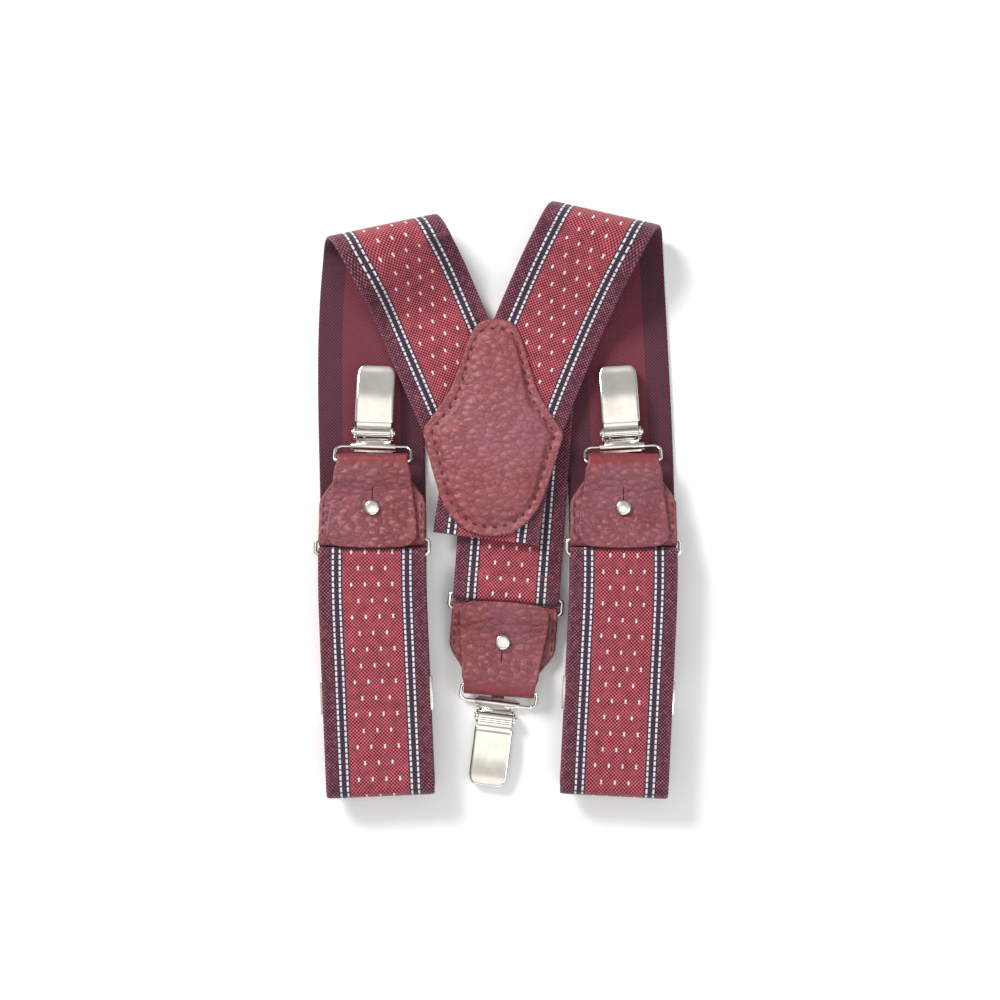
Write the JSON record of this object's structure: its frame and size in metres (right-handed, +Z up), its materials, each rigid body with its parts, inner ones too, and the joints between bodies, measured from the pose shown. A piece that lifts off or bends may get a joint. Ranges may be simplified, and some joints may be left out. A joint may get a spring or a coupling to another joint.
{
  "type": "suspenders",
  "caption": "Folded Y-back suspenders: patterned webbing straps, leather yoke, and buttoned leather ends with ring, wire loop and metal clip.",
  "frame": {"origin": "middle of the underside's bounding box, on the table", "axes": "+Z up from the table, +Y towards the shoulder folds, +X to the wearer-side right strap as laid out"},
  "size_m": [0.1202, 0.1958, 0.0153],
  "materials": {
    "webbing": "woven",
    "leather": "pebbled",
    "nickel": "polished",
    "pad": "matte"
  },
  "bodies": {
    "webbing": {"left_strap": "webbing", "right_strap": "webbing", "rear_strap": "webbing", "yoke_back_leather": "leather", "yoke_front_leather": "leather"},
    "left_adjuster": {"left_adjuster": "nickel"},
    "right_adjuster": {"right_adjuster": "nickel"},
    "front_left_ring": {"front_left_ring": "nickel"},
    "front_left_tab": {"front_left_leather": "leather", "front_left_stud": "nickel"},
    "front_left_wire_loop": {"front_left_wire_loop": "nickel"},
    "front_left_clip": {"front_left_clip_base": "nickel", "front_left_clip_pin": "nickel", "front_left_jaw_pad": "pad"},
    "front_left_cover": {"front_left_clip_cover": "nickel"},
    "front_right_ring": {"front_right_ring": "nickel"},
    "front_right_tab": {"front_right_leather": "leather", "front_right_stud": "nickel"},
    "front_right_wire_loop": {"front_right_wire_loop": "nickel"},
    "front_right_clip": {"front_right_clip_base": "nickel", "front_right_clip_pin": "nickel", "front_right_jaw_pad": "pad"},
    "front_right_cover": {"front_right_clip_cover": "nickel"},
    "rear_ring": {"rear_ring": "nickel"},
    "rear_tab": {"rear_leather": "leather", "rear_stud": "nickel"},
    "rear_wire_loop": {"rear_wire_loop": "nickel"},
    "rear_clip": {"rear_clip_base": "nickel", "rear_clip_pin": "nickel", "rear_jaw_pad": "pad"},
    "rear_cover": {"rear_clip_cover": "nickel"}
  },
  "joints": [
    {"name": "left_adjuster_slide", "type": "slide", "parent": "webbing", "child": "left_adjuster", "axis": [-0.0454, 0.999, 0], "range_m": [-0.015, 0.006]},
    {"name": "right_adjuster_slide", "type": "slide", "parent": "webbing", "child": "right_adjuster", "axis": [0.0506, 0.9987, 0], "range_m": [-0.015, 0.006]},
    {"name": "front_left_ring_in_webbing", "type": "hinge", "parent": "webbing", "child": "front_left_ring", "pos_m": [-0.041, -0.01831, 0.0096], "axis": [1, 0, 0], "range_deg": [0, 50]},
    {"name": "front_left_tab_on_ring", "type": "hinge", "parent": "front_left_ring", "child": "front_left_tab", "pos_m": [-0.041, -0.01352, 0.00919], "axis": [1, 0, 0], "range_deg": [0, 8]},
    {"name": "front_left_loop_in_tab", "type": "hinge", "parent": "front_left_tab", "child": "front_left_wire_loop", "pos_m": [-0.041, 0.01222, 0.00856], "axis": [0.9999, -0.0104, 0.0009], "range_deg": [0, 50]},
    {"name": "front_left_clip_on_loop", "type": "hinge", "parent": "front_left_wire_loop", "child": "front_left_clip", "pos_m": [-0.04095, 0.01703, 0.00502], "axis": [0.9993, -0.0365, 0.0032], "range_deg": [0, 45]},
    {"name": "front_left_cover_lever", "type": "hinge", "parent": "front_left_clip", "child": "front_left_cover", "pos_m": [-0.04078, 0.02164, 0.00613], "axis": [0.9993, -0.0365, 0.0032], "range_deg": [0, 75]},
    {"name": "front_right_ring_in_webbing", "type": "hinge", "parent": "webbing", "child": "front_right_ring", "pos_m": [0.041, -0.01831, 0.0096], "axis": [1, 0, 0], "range_deg": [0, 50]},
    {"name": "front_right_tab_on_ring", "type": "hinge", "parent": "front_right_ring", "child": "front_right_tab", "pos_m": [0.041, -0.01352, 0.00919], "axis": [1, 0, 0], "range_deg": [0, 8]},
    {"name": "front_right_loop_in_tab", "type": "hinge", "parent": "front_right_tab", "child": "front_right_wire_loop", "pos_m": [0.041, 0.01222, 0.00856], "axis": [0.9994, 0.0348, -0.003], "range_deg": [0, 50]},
    {"name": "front_right_clip_on_loop", "type": "hinge", "parent": "front_right_wire_loop", "child": "front_right_clip", "pos_m": [0.04082, 0.01703, 0.00502], "axis": [0.9981, 0.0608, -0.0053], "range_deg": [0, 45]},
    {"name": "front_right_cover_lever", "type": "hinge", "parent": "front_right_clip", "child": "front_right_cover", "pos_m": [0.04055, 0.02163, 0.00613], "axis": [0.9981, 0.0608, -0.0053], "range_deg": [0, 75]},
    {"name": "rear_ring_in_webbing", "type": "hinge", "parent": "webbing", "child": "rear_ring", "pos_m": [0.0027, -0.03221, 0.0028], "axis": [-0.9972, 0.075, 0], "range_deg": [0, 50]},
    {"name": "rear_tab_on_ring", "type": "hinge", "parent": "rear_ring", "child": "rear_tab", "pos_m": [0.00234, -0.03699, 0.0028], "axis": [-0.9972, 0.075, 0], "range_deg": [0, 8]},
    {"name": "rear_loop_in_tab", "type": "hinge", "parent": "rear_tab", "child": "rear_wire_loop", "pos_m": [0.00054, -0.06223, 0.0044], "axis": [-0.991, 0.134, 0], "range_deg": [0, 50]},
    {"name": "rear_clip_on_loop", "type": "hinge", "parent": "rear_wire_loop", "child": "rear_clip", "pos_m": [-0.00024, -0.06727, 0.0013], "axis": [-0.9921, 0.1253, 0], "range_deg": [0, 45]},
    {"name": "rear_cover_lever", "type": "hinge", "parent": "rear_clip", "child": "rear_cover", "pos_m": [-0.0008, -0.07173, 0.0028], "axis": [-0.9921, 0.1253, 0], "range_deg": [0, 75]}
  ]
}
